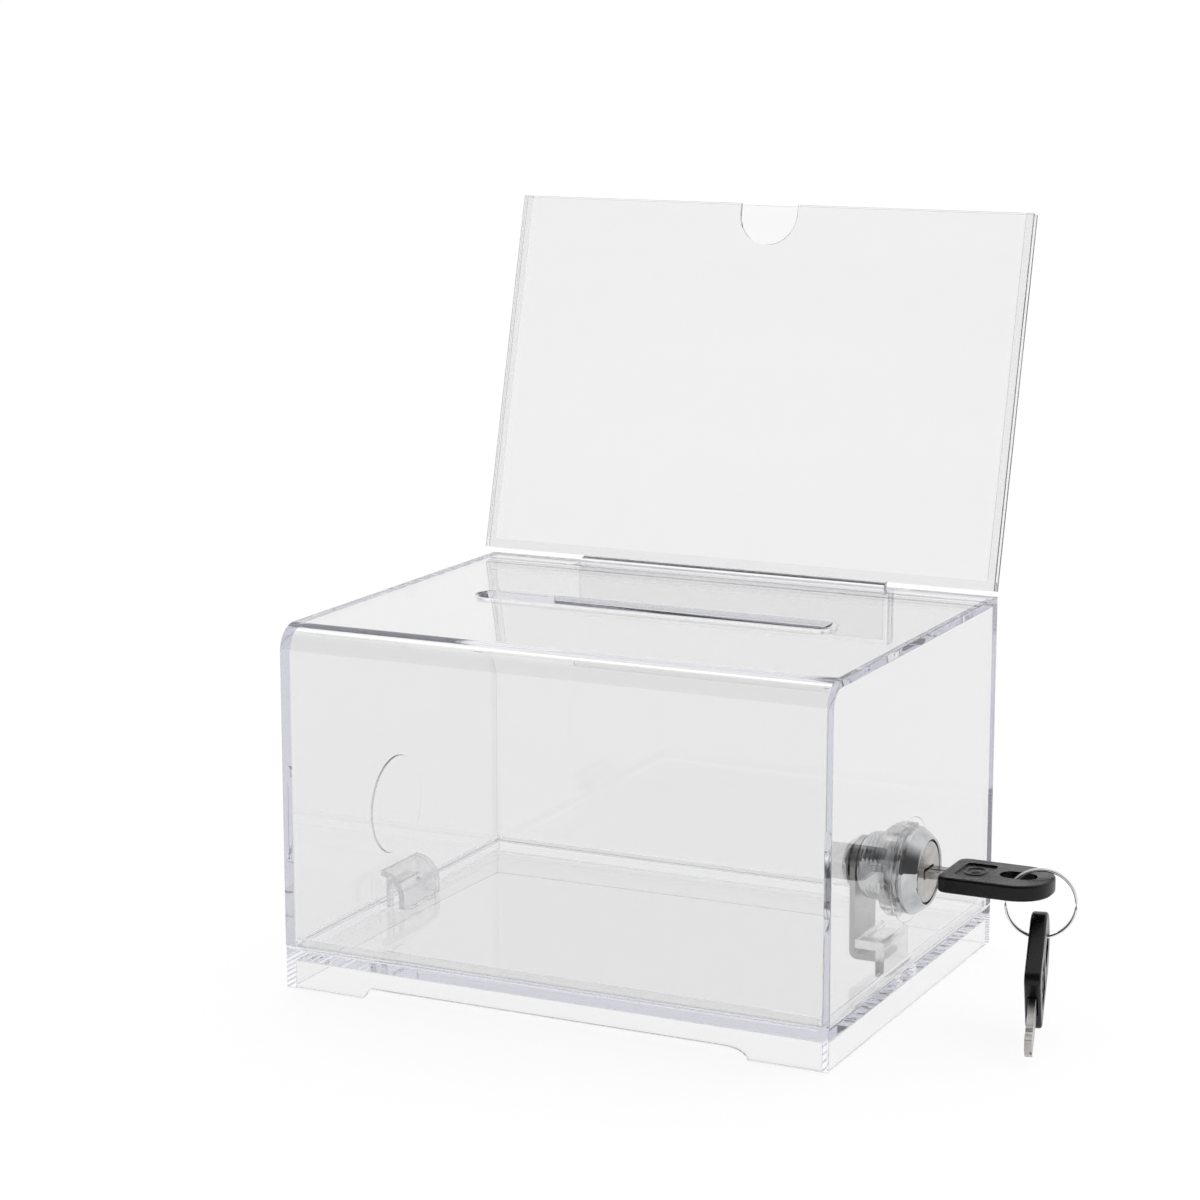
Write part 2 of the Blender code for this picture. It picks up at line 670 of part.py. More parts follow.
def key_pieces(name, plastic, metal):
    """One key along X: the blade points to -X, the head's inner end is at the origin."""
    h = HEAD_W / 2
    r = HEAD_END_R
    end = arc(HEAD_L - r, h - r, r, 90, 0, 8) + arc(HEAD_L - r, r - h, r, 0, -90, 8)
    r = HEAD_CORNER_R
    start = arc(r, r - h, r, 270, 180, 4) + arc(r, h - r, r, 180, 90, 4)
    outline = end + start
    bm = bmesh.new()
    add_prism(bm, outline, "Z", -HEAD_T / 2, HEAD_T / 2)
    head = finish(bm, f"{name}_head", plastic)
    bevel = head.modifiers.new("soft_edges", "BEVEL")
    bevel.width = HEAD_EDGE_R * MM
    bevel.segments = 3
    bevel.limit_method = "ANGLE"
    bevel.angle_limit = math.radians(50)

    mid = (HOLE_X[0] + HOLE_X[1]) / 2
    length = HOLE_X[1] - HOLE_X[0] + 2 * HOLE_R
    hole = stadium(mid, 0.0, length, 2 * HOLE_R, 8)
    cutters = [prism(f"cut_{name}_hole", None, hole, "Z", -5, 5)]
    panel = rounded_rect(PANEL_X[0], PANEL_MARGIN - h, PANEL_X[1], h - PANEL_MARGIN, 1.2, 3)
    for side in (-1, 1):
        low, high = sorted((side * (HEAD_T / 2 - PANEL_DEPTH), side * (HEAD_T / 2 + 1)))
        cutters.append(prism(f"cut_{name}_panel_{side}", None, panel, "Z", low, high))
    bow = BLADE_W / 2 + GAP
    slot = BLADE_T / 2 + GAP
    cutters.append(box(f"cut_{name}_bow", None, (-1, -bow, -slot), (BLADE_ROOT + GAP, bow, slot)))
    cut(head, *cutters)

    w = BLADE_W / 2
    taper = -BLADE_L + 1.2
    cuts = [(x - HEAD_X, shift) for x, shift in zip(WAFER_X, BITTING)][:-1]
    outline = [(taper, -w), (-BLADE_L, -0.8), (-BLADE_L, 0.8), (taper, w)]
    for c, shift in reversed(cuts):
        d = w - 0.45 + max(shift, 0)
        outline += [(c - 0.75, w), (c - 0.45, d), (c + 0.45, d), (c + 0.75, w)]
    outline += [(BLADE_ROOT, w), (BLADE_ROOT, -w)]
    for c, shift in cuts:
        d = w - 0.45 - min(shift, 0)
        outline += [(c + 0.75, -w), (c + 0.45, -d), (c - 0.45, -d), (c - 0.75, -w)]
    blade = prism(f"{name}_blade", metal, outline, "Z", -BLADE_T / 2, BLADE_T / 2)
    groove = [(-BLADE_L - 1, -0.7), (2.0, -0.7), (2.0, 0.1), (-BLADE_L - 1, 0.1)]
    groove_cutter = prism(f"cut_{name}_groove", None, groove, "Z", BLADE_T / 2 - 0.5, 3)
    cut(blade, groove_cutter)
    return [head, blade] + cutters + [groove_cutter]


def hang(name, joint, objects, matrix=Matrix()):
    """Hang objects on one empty that stands on their joint, and keep them where the matrix puts them."""
    pivot = bpy.data.objects.new(name, None)
    bpy.context.collection.objects.link(pivot)
    pivot.location = joint * MM
    for obj in objects:
        obj.parent = pivot
        obj.matrix_parent_inverse = Matrix.Translation(-joint * MM) @ matrix


def loose_objects():
    return [obj for obj in bpy.data.objects if obj.parent is None and obj.type == "MESH"]


def ring_joint():
    """Where the ring passes through the first key's hole."""
    return Vector((HEAD_X + HOLE_X[0] + 0.2, LOCK_Y, LOCK_Z))


def ring_frame():
    """The ring's centre and the level direction in its plane."""
    across = Vector((math.cos(RING_AZ), math.sin(RING_AZ), 0.0))
    half = math.sqrt(RING_R ** 2 - RING_DROP ** 2)
    centre = ring_joint() + across * half - Vector((0, 0, RING_DROP))
    return centre, across


def spare_joint():
    """The ring's lowest point, where the spare key hangs."""
    return ring_frame()[0] - Vector((0, 0, RING_R))


def build_ring(mat):
    """Split ring: one wire wound twice round."""
    centre, across = ring_frame()
    normal = Vector((across.y, -across.x, 0.0))
    up = Vector((0.0, 0.0, 1.0))
    steps = 40
    path = []
    total = 2 * steps - 3
    for i in range(total + 1):
        a = math.radians(-60) + math.tau * i / steps
        t = min(max((i / total - 0.5) * 5.0 + 0.5, 0.0), 1.0)
        side = (t * t * (3 - 2 * t) - 0.5) * RING_STEP
        radial = across * math.cos(a) + up * math.sin(a)
        path.append(centre + radial * RING_R + normal * side)
    ring = tube("split_ring", mat, path, RING_WIRE, 8)
    smooth(ring, 50)
    return ring


def spare_matrix():
    """The spare key's place: its hole on the ring's lowest point, its tip just above the table."""
    toward = Vector((math.sin(SPARE_AZ), -math.cos(SPARE_AZ), 0.0))
    down = toward * math.sin(SPARE_LEAN) - Vector((0, 0, math.cos(SPARE_LEAN)))
    x_axis = -down
    z_axis = Vector((math.cos(SPARE_AZ), math.sin(SPARE_AZ), 0.0))
    y_axis = z_axis.cross(x_axis)
    rotation = Matrix((x_axis, y_axis, z_axis)).transposed().to_4x4()
    grip = HOLE_X[1] + HOLE_R - RING_WIRE - 0.3
    return Matrix.Translation((spare_joint() - x_axis * grip) * MM) @ rotation


def place_in_frame():
    """Move the origin from the footprint's middle to the middle of the rear skirt's lower edge."""
    frame = bpy.data.objects.new("frame", None)
    bpy.context.collection.objects.link(frame)
    for obj in bpy.data.objects:
        if obj.parent is None and obj is not frame:
            obj.parent = frame
    frame.location = (0.0, -(BOX_D - WALL) / 2 * MM, 0.0)


def main():
    clear_scene()
    clear = material("clear plastic", (0.93, 0.93, 0.96), 0.06, 0.0, 0.9)
    clear_base = material("clear base plastic", (0.92, 0.92, 0.95), 0.08, 0.0, 0.9)
    sheet = material("clear sheet", (0.95, 0.95, 0.97), 0.05, 0.0, 0.9)
    frosted = material("frosted plastic", (0.84, 0.84, 0.86), 0.45, 0.0, 0.5)
    clear_nut = material("clear nut plastic", (0.88, 0.88, 0.90), 0.2, 0.0, 0.8)
    chrome = material("chrome", (0.80, 0.80, 0.81), 0.12, 1.0)
    nickel = material("nickel", (0.55, 0.54, 0.52), 0.28, 1.0)
    brass = material("brass wafer", (0.72, 0.58, 0.30), 0.35, 1.0)
    zinc = material("zinc steel", (0.42, 0.42, 0.41), 0.35, 1.0)
    steel = material("steel", (0.62, 0.62, 0.62), 0.25, 1.0)
    bright = material("bright steel", (0.75, 0.75, 0.76), 0.18, 1.0)
    black = material("black key plastic", (0.02, 0.02, 0.022), 0.35)

    build_cover(clear)
    build_base(clear_base)
    build_left_catch(frosted)
    build_right_catch(frosted)
    build_sign_holder(sheet)
    build_housing(chrome)
    build_nut(clear_nut)
    still = loose_objects()
    build_plug(nickel)
    build_wafers(brass, steel)
    build_cam_stack(zinc, steel, bright)
    turning = [obj for obj in loose_objects() if obj not in still]
    lock_joint = Vector((BODY_END, LOCK_Y, LOCK_Z))
    hang("lock_pivot", lock_joint, turning)
    head_end = Vector((HEAD_X, LOCK_Y, LOCK_Z))
    first_place = Matrix.Translation(head_end * MM)
    hang("key_1_pivot", head_end, key_pieces("key_1", black, nickel), first_place)
    hang("ring_pivot", ring_joint(), [build_ring(bright)])
    hang("key_2_pivot", spare_joint(), key_pieces("key_2", black, nickel), spare_matrix())
    place_in_frame()


main()
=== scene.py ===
"""Looks of the clear lockable donation box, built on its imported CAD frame."""

import json
import math

import bmesh
import bpy
from mathutils import Matrix, Vector


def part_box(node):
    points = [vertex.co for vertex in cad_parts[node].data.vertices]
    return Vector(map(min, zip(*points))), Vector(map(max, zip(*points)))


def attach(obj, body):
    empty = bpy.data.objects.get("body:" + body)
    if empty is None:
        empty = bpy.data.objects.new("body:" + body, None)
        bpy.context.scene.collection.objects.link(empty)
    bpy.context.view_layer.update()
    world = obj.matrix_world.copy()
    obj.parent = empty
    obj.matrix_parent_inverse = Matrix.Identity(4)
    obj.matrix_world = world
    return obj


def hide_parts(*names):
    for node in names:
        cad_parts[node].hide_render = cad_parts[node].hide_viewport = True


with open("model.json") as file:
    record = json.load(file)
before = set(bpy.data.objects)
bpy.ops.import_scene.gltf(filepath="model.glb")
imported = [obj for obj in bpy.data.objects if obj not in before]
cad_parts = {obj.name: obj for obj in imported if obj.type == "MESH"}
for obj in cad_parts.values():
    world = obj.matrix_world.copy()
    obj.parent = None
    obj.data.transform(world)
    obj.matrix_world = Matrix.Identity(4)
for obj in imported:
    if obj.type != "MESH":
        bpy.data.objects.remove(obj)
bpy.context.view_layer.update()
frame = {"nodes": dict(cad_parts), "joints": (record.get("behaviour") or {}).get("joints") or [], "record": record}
NODES = frame["nodes"]
JOINTS = {joint["name"]: joint for joint in frame["joints"]}
BODY_OF = {n: b for b, ns in frame["record"]["behaviour"]["bodies"].items() for n in ns}
SLOT_OF = {part["node"]: part["material_slot"] for part in frame["record"]["subparts"]}

# Camera, aimed at a point inside the box
AZIMUTH = math.radians(26.08)
ELEVATION = math.radians(11.3)
ROLL = math.radians(-0.034)
DISTANCE = 0.85
AIM = Vector((-0.0120, -0.0620, 0.1006))
LENS = 95.75

# Light
DOME = 1.0
DOME_FRONT = 0.1
DOME_FADE = (-0.45, 0.3)
SUN = 0.35
SUN_ANGLE = math.radians(70)
SUN_TILT = (math.radians(-12), math.radians(-14), 0)
TABLE_GLOW = 0.9
LIGHT_PATH = 128

MM = 0.001

# Points closer than this after a bevel are one point
SLIVER = 0.002 * MM
LOCK = Vector(JOINTS["lock_turn"]["pos_m"])

# Screw thread of the lock's barrel, and the flats along it, in millimetres
THREAD_R = 9.0
THREAD_DEPTH = 0.5
THREAD_PITCH = 1.1
BARREL_FLAT = 8.0
BARREL_BORE = 6.9
THREAD_STEPS = 96

# Bezel, from the wall outwards, in millimetres from the lock's axis
BEZEL_RIM = 11.5
BEZEL_FACE_R = 9.1
BEZEL_MOUTH = 8.4
BEZEL_SHELF = 2.8
BEZEL_BAND = 1.0
BEZEL_T = 4.4
TURNED_STEPS = 128

# Waved spring washer, in millimetres
WASHER_BAND = 2.9
WASHER_HALF = 0.13
WASHER_WAVE = 0.15
WASHER_WAVES = 3

# Ribs in the keyway: section, place across the keyway, and reach behind the plug's face, in millimetres
WARD_SECTION = [(-0.45, 1.5), (-0.3, 1.08), (0.3, 1.08), (0.45, 1.5)]
WARD_UPPER_Y = 1.6
WARD_LOWER_Y = -1.9
WARD_REACH = (6, 0.35)

# Radius left on each piece's edges, in millimetres
EDGES = {
    "cover_shell": 0.35, "base_tray": 0.35, "left_catch": 0.25, "right_catch": 0.25,
    "sign_front_sheet": 0.12, "sign_back_sheet": 0.12, "sign_left_strip": 0.12,
    "sign_right_strip": 0.12, "sign_tongue_strip": 0.12,
    "lock_nut": 0.3, "lock_plug": 0.1, "stop_washer": 0.1, "lock_cam": 0.16, "cam_screw": 0.1,
    "wafer_1": 0.06, "wafer_2": 0.06, "wafer_3": 0.06, "wafer_4": 0.06,
    "key_1_head": 0.12, "key_1_blade": 0.09, "key_2_head": 0.12, "key_2_blade": 0.09,
}

# Keys: the head's thickness, its recessed panel and its mark, and the spare key's place and lean
HEAD_T = 4.2
PANEL_MIDDLE = 7.5
PANEL_DEPTH = 0.45
MARK_STEPS = 48
MARK_STRETCH = 1.25
MARK_SUNK = 0.03
MARK_RING = [(2.2, 0.0), (2.3, 0.22), (2.5, 0.3), (2.9, 0.3), (3.1, 0.22), (3.2, 0.0)]
MARK_STUD = [(0.05, 0.0), (0.05, 0.32), (0.7, 0.3), (1.1, 0.2), (1.25, 0.0)]
SPARE_GRIP = 23.08
SPARE_AZIMUTH = math.radians(14)
SPARE_LEAN = math.radians(59)


# ---------------------------------------------------------------- node helpers

class Nodes:
    """Short calls for one material's node tree."""

    def __init__(self, name):
        self.mat = bpy.data.materials.new(name)
        self.mat.use_nodes = True
        self.tree = self.mat.node_tree
        self.shader = self.tree.nodes["Principled BSDF"]
        self.coords = self.tree.nodes.new("ShaderNodeTexCoord").outputs["Object"]

    def set(self, **values):
        for key, value in values.items():
            self.shader.inputs[key.replace("_", " ")].default_value = value

    def link(self, source, target):
        self.tree.links.new(source, target)

    def stretched(self, scale):
        node = self.tree.nodes.new("ShaderNodeMapping")
        node.inputs["Scale"].default_value = scale
        self.link(self.coords, node.inputs["Vector"])
        return node.outputs["Vector"]

    def noise(self, scale, detail=3.0, vector=None, roughness=0.55):
        node = self.tree.nodes.new("ShaderNodeTexNoise")
        node.inputs["Scale"].default_value = scale
        node.inputs["Detail"].default_value = detail
        node.inputs["Roughness"].default_value = roughness
        self.link(vector or self.coords, node.inputs["Vector"])
        return node.outputs["Fac"]

    def cells(self, scale, vector=None):
        node = self.tree.nodes.new("ShaderNodeTexVoronoi")
        node.inputs["Scale"].default_value = scale
        self.link(vector or self.coords, node.inputs["Vector"])
        return node.outputs["Distance"]

    def span(self, source, low, high, start=0.3, end=0.7):
        """Map the source's start..end range to low..high."""
        node = self.tree.nodes.new("ShaderNodeMapRange")
        node.inputs["From Min"].default_value = start
        node.inputs["From Max"].default_value = end
        node.inputs["To Min"].default_value = low
        node.inputs["To Max"].default_value = high
        self.link(source, node.inputs["Value"])
        return node.outputs["Result"]

    def ramp(self, source, dark, light):
        node = self.tree.nodes.new("ShaderNodeValToRGB")
        node.color_ramp.elements[0].position = 0.3
        node.color_ramp.elements[0].color = (*dark, 1)
        node.color_ramp.elements[1].position = 0.7
        node.color_ramp.elements[1].color = (*light, 1)
        self.link(source, node.inputs["Fac"])
        return node.outputs["Color"]

    def bump(self, source, strength, distance, after=None):
        node = self.tree.nodes.new("ShaderNodeBump")
        node.inputs["Strength"].default_value = strength
        node.inputs["Distance"].default_value = distance
        self.link(source, node.inputs["Height"])
        if after is not None:
            self.link(after, node.inputs["Normal"])
        self.link(node.outputs["Normal"], self.shader.inputs["Normal"])
        return node.outputs["Normal"]

    def absorb(self, color, density):
        node = self.tree.nodes.new("ShaderNodeVolumeAbsorption")
        node.inputs["Color"].default_value = (*color, 1)
        node.inputs["Density"].default_value = density
        output = self.tree.nodes["Material Output"]
        self.link(node.outputs["Volume"], output.inputs["Volume"])


# ------------------------------------------------------------------- materials

def clear_plastic(name, clarity, tint, density, ior, ripple):
    """Polished clear plastic: long moulding ripples, faint haze, and a tint through thick stretches."""
    m = Nodes(name)
    m.set(Base_Color=(clarity, clarity, clarity, 1), IOR=ior, Transmission_Weight=1.0)
    haze = m.noise(60, 4)
    m.link(m.span(haze, 0.0, 0.008), m.shader.inputs["Roughness"])
    wave = m.noise(14, 1.0)
    m.bump(wave, ripple, 0.0004)
    m.absorb(tint, density)
    return m.mat


def frosted_plastic():
    """Milky moulded plastic with a fine spark-eroded grain."""
    m = Nodes("frosted plastic")
    m.set(IOR=1.3, Transmission_Weight=1.0)
    cloud = m.noise(220, 3)
    m.link(m.ramp(cloud, (0.96, 0.96, 0.97), (1.0, 1.0, 1.0)), m.shader.inputs["Base Color"])
    grain = m.noise(2600, 2)
    m.link(m.span(grain, 0.14, 0.26), m.shader.inputs["Roughness"])
    m.bump(grain, 0.25, 0.00006)
    return m.mat


def nut_plastic():
    """Translucent nut, a little yellower and cloudier than the box."""
    m = Nodes("clear nut plastic")
    m.set(IOR=1.5, Transmission_Weight=0.9)
    cloud = m.noise(180, 3)
    m.link(m.ramp(cloud, (0.9, 0.9, 0.9), (0.97, 0.97, 0.96)), m.shader.inputs["Base Color"])
    m.link(m.span(cloud, 0.06, 0.2), m.shader.inputs["Roughness"])
    m.bump(cloud, 0.1, 0.0002)
    return m.mat


def plated(name, dark, light, smooth, worn, mark_scale, mark):
    """Plated metal: uneven colour, smudges in the gloss, and fine handling marks."""
    m = Nodes(name)
    m.set(Metallic=1.0)
    smudge = m.noise(mark_scale * 0.25, 4)
    m.link(m.ramp(smudge, dark, light), m.shader.inputs["Base Color"])
    m.link(m.span(smudge, smooth, worn), m.shader.inputs["Roughness"])
    scratch = m.noise(mark_scale, 6, m.stretched((1.0, 0.15, 1.0)), 0.7)
    m.bump(scratch, mark, 0.00003)
    return m.mat


def spun(name, dark, light, smooth, worn, center, pitch):
    """Turned metal: fine rings about an axis along X through the given centre."""
    m = Nodes(name)
    m.set(Metallic=1.0)
    shift = m.tree.nodes.new("ShaderNodeVectorMath")
    shift.operation = "SUBTRACT"
    shift.inputs[1].default_value = center
    m.link(m.coords, shift.inputs[0])
    flat = m.tree.nodes.new("ShaderNodeVectorMath")
    flat.operation = "MULTIPLY"
    flat.inputs[1].default_value = (0, 1, 1)
    m.link(shift.outputs["Vector"], flat.inputs[0])
    rings = m.tree.nodes.new("ShaderNodeTexWave")
    rings.wave_type = "RINGS"
    rings.rings_direction = "SPHERICAL"
    rings.inputs["Scale"].default_value = 1 / pitch
    rings.inputs["Distortion"].default_value = 1.5
    rings.inputs["Detail"].default_value = 3.0
    m.link(flat.outputs["Vector"], rings.inputs["Vector"])
    smudge = m.noise(400, 4)
    m.link(m.ramp(smudge, dark, light), m.shader.inputs["Base Color"])
    m.link(m.span(rings.outputs["Fac"], smooth, worn, 0, 1), m.shader.inputs["Roughness"])
    m.bump(rings.outputs["Fac"], 0.25, 0.00002)
    return m.mat


def key_plastic():
    """Black moulded grip with a fine grain that is polished where fingers rub."""
    m = Nodes("black key plastic")
    m.set(IOR=1.33)
    rub = m.noise(160, 3)
    m.link(m.ramp(rub, (0.003, 0.003, 0.0035), (0.008, 0.008, 0.009)), m.shader.inputs["Base Color"])
    m.link(m.span(rub, 0.2, 0.36), m.shader.inputs["Roughness"])
    grain = m.cells(2400)
    m.bump(grain, 0.35, 0.00008)
    return m.mat


def floor_paint():
    """Plain pale light table with the slightest mottling."""
    m = Nodes("pale floor")
    m.set(Roughness=0.9, Emission_Color=(1, 1, 1, 1), Emission_Strength=TABLE_GLOW)
    m.shader.inputs["Specular IOR Level"].default_value = 0.0
    cloud = m.noise(3, 4)
    m.link(m.ramp(cloud, (0.16, 0.16, 0.16), (0.18, 0.18, 0.18)), m.shader.inputs["Base Color"])
    return m.mat


# Plated metals: name, dark and light colour, roughness smooth and worn, marks' scale and depth
METALS = {
    "chrome": ("polished chrome", (0.42, 0.43, 0.44), (0.6, 0.6, 0.61), 0.02, 0.06, 900, 0.06),
    "washer_steel": ("washer steel", (0.5, 0.5, 0.5), (0.66, 0.66, 0.66), 0.2, 0.34, 1200, 0.15),
    "cam_steel": ("zinc plated steel", (0.34, 0.34, 0.34), (0.5, 0.5, 0.49), 0.26, 0.42, 700, 0.2),
    "bright_steel": ("bright steel", (0.7, 0.7, 0.71), (0.82, 0.82, 0.83), 0.08, 0.2, 1000, 0.1),
    "wafer_brass": ("wafer brass", (0.62, 0.46, 0.22), (0.78, 0.62, 0.34), 0.22, 0.36, 900, 0.15),
}


def make_materials():
    violet = (0.2, 0.2, 0.42)
    materials = {slot: plated(*look) for slot, look in METALS.items()}
    materials.update({
        "clear_cover": clear_plastic("clear cover plastic", 0.89, violet, 3.6, 1.52, 0.05),
        "clear_base": clear_plastic("clear base plastic", 0.93, violet, 3.6, 1.52, 0.05),
        "clear_sheet": clear_plastic("clear sheet plastic", 1.0, (0.4, 0.4, 0.46), 14, 1.49, 0.04),
        "frosted": frosted_plastic(),
        "clear_nut": nut_plastic(),
        "nickel": spun("satin nickel", (0.36, 0.35, 0.34), (0.48, 0.47, 0.45), 0.18, 0.34, LOCK, 0.0005),
        "key_plastic": key_plastic(),
    })
    return materials


# ---------------------------------------------------------------------- pieces

def mesh_object(name, bm):
    mesh = bpy.data.meshes.new(name)
    bm.to_mesh(mesh)
    bm.free()
    obj = bpy.data.objects.new(name, mesh)
    bpy.context.scene.collection.objects.link(obj)
    return obj


def smooth(obj, degrees=35):
    obj.data.polygons.foreach_set("use_smooth", [True] * len(obj.data.polygons))
    obj.data.set_sharp_from_angle(angle=math.radians(degrees))


def stand_for(obj, node, materials):
    """Give a piece its CAD node's body and material, and let it be shown in the node's place."""
    obj.data.materials.clear()
    obj.data.materials.append(materials[SLOT_OF[node]])
    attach(obj, BODY_OF[node])
    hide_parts(node)
    return obj


def round_edges(obj, width, segments, angle):
    bevel = obj.modifiers.new("soft corners", "BEVEL")
    bevel.width = width
    bevel.segments = segments
    bevel.limit_method = "ANGLE"
    bevel.angle_limit = math.radians(angle)
    weld = obj.modifiers.new("no slivers", "WELD")
    weld.merge_threshold = SLIVER
    smooth(obj, angle)
    weighted = obj.modifiers.new("true flats", "WEIGHTED_NORMAL")
    weighted.mode = "FACE_AREA"
    weighted.weight = 100
    weighted.keep_sharp = True


def softened(node, materials, width, segments=2, angle=38):
    """A node's own shape with its corners rounded off, as moulding or tumbling leaves them."""
    bm = bmesh.new()
    bm.from_mesh(NODES[node].data)
    bmesh.ops.remove_doubles(bm, verts=bm.verts, dist=2e-6)
    bmesh.ops.dissolve_limit(
        bm, angle_limit=math.radians(0.6), verts=bm.verts, edges=bm.edges, delimit={"NORMAL"}
    )
    obj = mesh_object(f"{node}_soft", bm)
    round_edges(obj, width, segments, angle)
    return stand_for(obj, node, materials)


def sweep(name, rings):
    """Skin a list of rings of points into one closed tube-like surface."""
    bm = bmesh.new()
    grid = [[bm.verts.new(p) for p in ring] for ring in rings]
    for a, b in zip(grid, grid[1:] + grid[:1]):
        for i in range(len(a)):
            j = (i + 1) % len(a)
            bm.faces.new((a[i], a[j], b[j], b[i]))
    bmesh.ops.recalc_face_normals(bm, faces=bm.faces)
    return mesh_object(name, bm)


def around_lock(x, radius, steps):
    """A ring of points about the lock's axis; radius is a number or a function of the angle."""
    points = []
    for i in range(steps):
        a = math.tau * i / steps
        r = radius(a) if callable(radius) else radius
        points.append((x * MM, LOCK.y + r * MM * math.cos(a), LOCK.z + r * MM * math.sin(a)))
    return points


def build_bezel(materials):
    """The lock's turned front ring: a low band, a cone, a rounded lip, and the shelf in its mouth."""
    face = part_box("lock_housing")[1][0] / MM
    back = face - BEZEL_T
    profile = [
        (back, BARREL_BORE), (back, BEZEL_RIM), (back + BEZEL_BAND, BEZEL_RIM),
        (face - 0.4, BEZEL_FACE_R + 0.3), (face, BEZEL_FACE_R - 0.1), (face, BEZEL_MOUTH + 0.2),
        (face - 0.2, BEZEL_MOUTH), (face - BEZEL_SHELF, BEZEL_MOUTH), (face - BEZEL_SHELF, BARREL_BORE),
    ]
    bezel = sweep("lock_bezel", [around_lock(x, r, TURNED_STEPS) for x, r in profile])
    round_edges(bezel, 0.14 * MM, 3, 22)
    return stand_for(bezel, "lock_housing", materials)


def build_barrel(materials):
    """The lock's barrel: a helical screw thread, with a flat along each side."""
    low, high = (corner[0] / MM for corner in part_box("lock_housing"))
    high -= BEZEL_T
    rings = []
    count = int((high - low) / THREAD_PITCH * 10)
    for k in range(count + 1):
        x = low + (high - low) * k / count
        fade = min(1.0, (x - low) / THREAD_PITCH, (high - x) / THREAD_PITCH)

        def radius(a, x=x, fade=fade):
            phase = ((x - low) / THREAD_PITCH - a / math.tau) % 1.0
            crest = min(1.0, 1.35 * (1.0 - abs(2.0 * phase - 1.0)))
            r = THREAD_R - THREAD_DEPTH + THREAD_DEPTH * crest * fade
            return min(r, BARREL_FLAT / max(abs(math.cos(a)), 1e-6))

        rings.append(around_lock(x, radius, THREAD_STEPS))
    rings.append(around_lock(high, BARREL_BORE, THREAD_STEPS))
    rings.append(around_lock(low, BARREL_BORE, THREAD_STEPS))
    barrel = sweep("lock_barrel", rings)
    smooth(barrel, 50)
    return stand_for(barrel, "lock_housing", materials)


def build_spring_washer(materials):
    """A waved washer: three waves round a thin flat ring."""
    low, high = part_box("spring_washer")
    middle = (low[0] + high[0]) / 2 / MM
    outer = (high[2] - low[2]) / 2 / MM
    inner = outer - WASHER_BAND
    half = WASHER_HALF
    rings = []
    for side, r in ((-half, inner), (-half, outer), (half, outer), (half, inner)):
        ring = []
        for i in range(THREAD_STEPS):
            a = math.tau * i / THREAD_STEPS
            x = middle + side + WASHER_WAVE * math.sin(WASHER_WAVES * a)
            ring.append((x * MM, LOCK.y + r * MM * math.cos(a), LOCK.z + r * MM * math.sin(a)))
        rings.append(ring)
    washer = sweep("waved_washer", rings)
    round_edges(washer, 0.06 * MM, 2, 40)
    return stand_for(washer, "spring_washer", materials)


def build_wards(materials):
    """Two ribs that run into the keyway from its long sides and make it ragged."""
    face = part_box("lock_plug")[1][0]
    for label, y, side in (("upper", WARD_UPPER_Y, 1), ("lower", WARD_LOWER_Y, -1)):
        bm = bmesh.new()
        for x in (face - WARD_REACH[0] * MM, face - WARD_REACH[1] * MM):
            for u, v in WARD_SECTION:
                bm.verts.new((x, LOCK.y + (y + u) * MM, LOCK.z + side * v * MM))
        bm.verts.ensure_lookup_table()
        back, front = bm.verts[:4], bm.verts[4:]
        for i in range(4):
            j = (i + 1) % 4
            bm.faces.new((back[i], back[j], front[j], front[i]))
        bm.faces.new(back)
        bm.faces.new(front)
        bmesh.ops.recalc_face_normals(bm, faces=bm.faces)
        ward = mesh_object(f"keyway_ward_{label}", bm)
        round_edges(ward, 0.05 * MM, 2, 30)
        stand_for(ward, "lock_plug", materials)


def key_matrices():
    """Each key's own axes: its head runs along +X from the origin, and its width along Y."""
    low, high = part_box("key_1_head")
    first = Matrix.Translation((low[0], LOCK.y, LOCK.z))
    joint = Vector(JOINTS["spare_key_swing"]["pos_m"])
    level = math.sin(SPARE_LEAN)
    along = Vector((
        -math.sin(SPARE_AZIMUTH) * level, math.cos(SPARE_AZIMUTH) * level, math.cos(SPARE_LEAN),
    ))
    through = Vector((math.cos(SPARE_AZIMUTH), math.sin(SPARE_AZIMUTH), 0.0))
    turn = Matrix((along, through.cross(along), through)).transposed().to_4x4()
    second = Matrix.Translation(joint - along * SPARE_GRIP * MM) @ turn
    return {"key_1": first, "key_2": second}


def build_emblem(key, matrix, materials):
    """A plain raised mark in each panel of a key's head: a ring round a rounded stud."""
    floor = HEAD_T / 2 - PANEL_DEPTH
    for label, side in (("upper", 1), ("lower", -1)):
        for part, profile in (("ring", MARK_RING), ("stud", MARK_STUD)):
            rings = []
            for r, rise in profile:
                ring = []
                for i in range(MARK_STEPS):
                    a = math.tau * i / MARK_STEPS
                    x = PANEL_MIDDLE + r * math.cos(a)
                    y = r * math.sin(a) * MARK_STRETCH
                    spot = Vector((x, y, side * (floor - MARK_SUNK + rise)))
                    ring.append(matrix @ (spot * MM))
                rings.append(ring)
            mark = sweep(f"{key}_{part}_{label}", rings)
            smooth(mark, 50)
            stand_for(mark, f"{key}_head", materials)


def build_split_ring(materials):
    """The ring's own wire, rounded."""
    bm = bmesh.new()
    bm.from_mesh(NODES["split_ring"].data)
    bmesh.ops.remove_doubles(bm, verts=bm.verts, dist=2e-6)
    bmesh.ops.join_triangles(
        bm, faces=bm.faces, angle_face_threshold=0.7, angle_shape_threshold=0.7
    )
    ring = mesh_object("split_ring_wire", bm)
    subdivide = ring.modifiers.new("round wire", "SUBSURF")
    subdivide.levels = 1
    subdivide.render_levels = 2
    smooth(ring, 180)
    return stand_for(ring, "split_ring", materials)


# ----------------------------------------------------------------------- stage

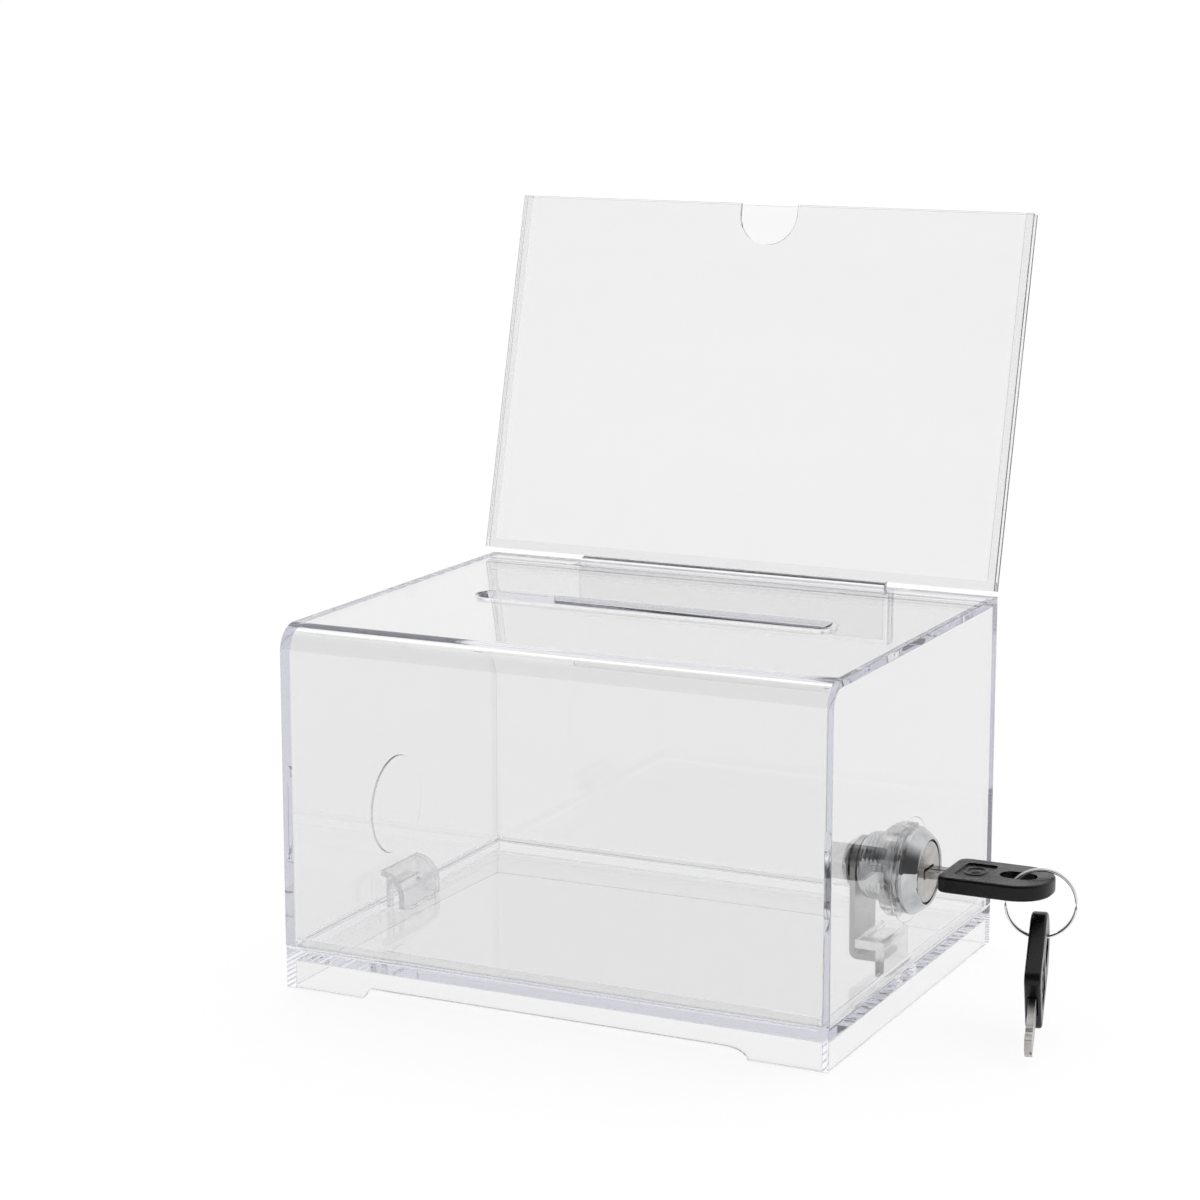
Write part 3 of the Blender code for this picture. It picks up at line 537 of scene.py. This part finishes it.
def build_floor():
    bm = bmesh.new()
    bmesh.ops.create_circle(bm, cap_ends=True, segments=96, radius=30.0)
    floor = mesh_object("floor", bm)
    floor.data.materials.append(floor_paint())


def build_light():
    world = bpy.data.worlds.new("soft studio")
    bpy.context.scene.world = world
    world.use_nodes = True
    tree = world.node_tree
    coords = tree.nodes.new("ShaderNodeTexCoord")
    parts = tree.nodes.new("ShaderNodeSeparateXYZ")
    tree.links.new(coords.outputs["Generated"], parts.inputs["Vector"])
    ramp = tree.nodes.new("ShaderNodeMapRange")
    ramp.interpolation_type = "SMOOTHSTEP"
    ramp.inputs["From Min"].default_value = DOME_FADE[0]
    ramp.inputs["From Max"].default_value = DOME_FADE[1]
    ramp.inputs["To Min"].default_value = DOME_FRONT
    ramp.inputs["To Max"].default_value = DOME
    tree.links.new(parts.outputs["Y"], ramp.inputs["Value"])
    seen = tree.nodes.new("ShaderNodeLightPath")
    level = tree.nodes.new("ShaderNodeMix")
    tree.links.new(seen.outputs["Is Camera Ray"], level.inputs["Factor"])
    tree.links.new(ramp.outputs["Result"], level.inputs["A"])
    level.inputs["B"].default_value = 1.0
    background = tree.nodes["Background"]
    tree.links.new(level.outputs["Result"], background.inputs["Strength"])
    background.inputs["Color"].default_value = (1, 1, 1, 1)

    sun = bpy.data.lights.new("overhead", "SUN")
    sun.energy = SUN
    sun.angle = SUN_ANGLE
    lamp = bpy.data.objects.new("overhead", sun)
    lamp.rotation_euler = SUN_TILT
    bpy.context.scene.collection.objects.link(lamp)


def build_camera():
    toward = Vector((
        -math.sin(AZIMUTH) * math.cos(ELEVATION),
        math.cos(AZIMUTH) * math.cos(ELEVATION),
        -math.sin(ELEVATION),
    ))
    data = bpy.data.cameras.new("camera")
    data.lens = LENS
    data.sensor_width = 36.0
    camera = bpy.data.objects.new("camera", data)
    camera.location = AIM - toward * DISTANCE
    turn = toward.to_track_quat("-Z", "Y").to_matrix().to_4x4()
    camera.rotation_euler = (turn @ Matrix.Rotation(ROLL, 4, "Z")).to_euler()
    bpy.context.scene.collection.objects.link(camera)
    bpy.context.scene.camera = camera


def build():
    materials = make_materials()
    for node, width in EDGES.items():
        softened(node, materials, width * MM)
    build_bezel(materials)
    build_barrel(materials)
    build_spring_washer(materials)
    build_wards(materials)
    build_split_ring(materials)
    for key, matrix in key_matrices().items():
        build_emblem(key, matrix, materials)
    for node, slot in SLOT_OF.items():
        NODES[node].data.materials.clear()
        NODES[node].data.materials.append(materials[slot])


def set_light_paths():
    """Light runs far along inside a clear wall, from face to face, before it comes out of an edge."""
    scene = bpy.context.scene
    scene.view_settings.view_transform = "Standard"
    scene.cycles.max_bounces = LIGHT_PATH
    scene.cycles.glossy_bounces = LIGHT_PATH
    scene.cycles.transmission_bounces = LIGHT_PATH


set_light_paths()
build_camera()
build_floor()
build_light()
build()
